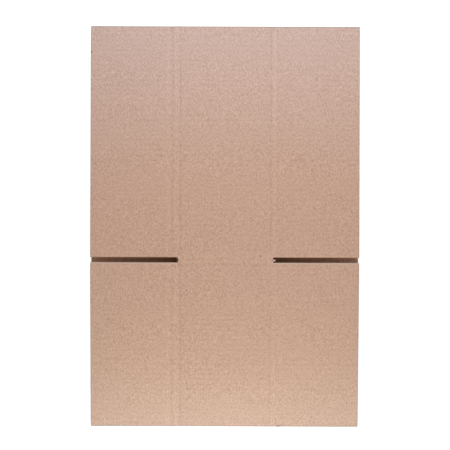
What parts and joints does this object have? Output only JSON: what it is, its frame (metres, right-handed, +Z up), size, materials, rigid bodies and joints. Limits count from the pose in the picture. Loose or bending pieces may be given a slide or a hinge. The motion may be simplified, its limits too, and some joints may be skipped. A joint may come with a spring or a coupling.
{
  "type": "corrugated box",
  "caption": "Slotted shipping carton of single-wall corrugated board, glued, folded flat and lying down, with its hinged end flaps on the creases.",
  "frame": {"origin": "middle of the flat carton's underside, on the surface it lies on", "axes": "+Z up out of the front layer, +Y along the sheet to the fold beside the long panel of the front layer, +X along the flutes to the right-hand flaps"},
  "size_m": [0.357, 0.5344, 0.0124],
  "materials": {
    "kraft_board": "matte uncoated kraft liner"
  },
  "bodies": {
    "sleeve": {"sleeve": "kraft_board"},
    "front_long_flap_left": {"front_long_flap_left": "kraft_board"},
    "front_long_flap_right": {"front_long_flap_right": "kraft_board"},
    "front_short_flap_left": {"front_short_flap_left": "kraft_board"},
    "front_short_flap_right": {"front_short_flap_right": "kraft_board"},
    "back_long_flap_left": {"back_long_flap_left": "kraft_board"},
    "back_long_flap_right": {"back_long_flap_right": "kraft_board"},
    "back_short_flap_left": {"back_short_flap_left": "kraft_board"},
    "back_short_flap_right": {"back_short_flap_right": "kraft_board"}
  },
  "joints": [
    {"name": "front_long_flap_left_hinge", "type": "hinge", "parent": "sleeve", "child": "front_long_flap_left", "pos_m": [-0.065, 0.11147, 0.00954], "axis": [0, 0.9998, -0.0191], "range_deg": [0, 115]},
    {"name": "front_long_flap_right_hinge", "type": "hinge", "parent": "sleeve", "child": "front_long_flap_right", "pos_m": [0.065, 0.11147, 0.00954], "axis": [0, -0.9998, 0.0191], "range_deg": [0, 115]},
    {"name": "front_short_flap_left_hinge", "type": "hinge", "parent": "sleeve", "child": "front_short_flap_left", "pos_m": [-0.065, -0.15346, 0.00957], "axis": [0, 0.9996, 0.0266], "range_deg": [0, 115]},
    {"name": "front_short_flap_right_hinge", "type": "hinge", "parent": "sleeve", "child": "front_short_flap_right", "pos_m": [0.065, -0.15346, 0.00957], "axis": [0, -0.9996, -0.0266], "range_deg": [0, 115]},
    {"name": "back_long_flap_left_hinge", "type": "hinge", "parent": "sleeve", "child": "back_long_flap_left", "pos_m": [-0.065, -0.11, 0], "axis": [0, -1, 0], "range_deg": [0, 115]},
    {"name": "back_long_flap_right_hinge", "type": "hinge", "parent": "sleeve", "child": "back_long_flap_right", "pos_m": [0.065, -0.11, 0], "axis": [0, 1, 0], "range_deg": [0, 115]},
    {"name": "back_short_flap_left_hinge", "type": "hinge", "parent": "sleeve", "child": "back_short_flap_left", "pos_m": [-0.065, 0.154, 0], "axis": [0, -1, 0], "range_deg": [0, 115]},
    {"name": "back_short_flap_right_hinge", "type": "hinge", "parent": "sleeve", "child": "back_short_flap_right", "pos_m": [0.065, 0.154, 0], "axis": [0, 1, 0], "range_deg": [0, 115]}
  ]
}
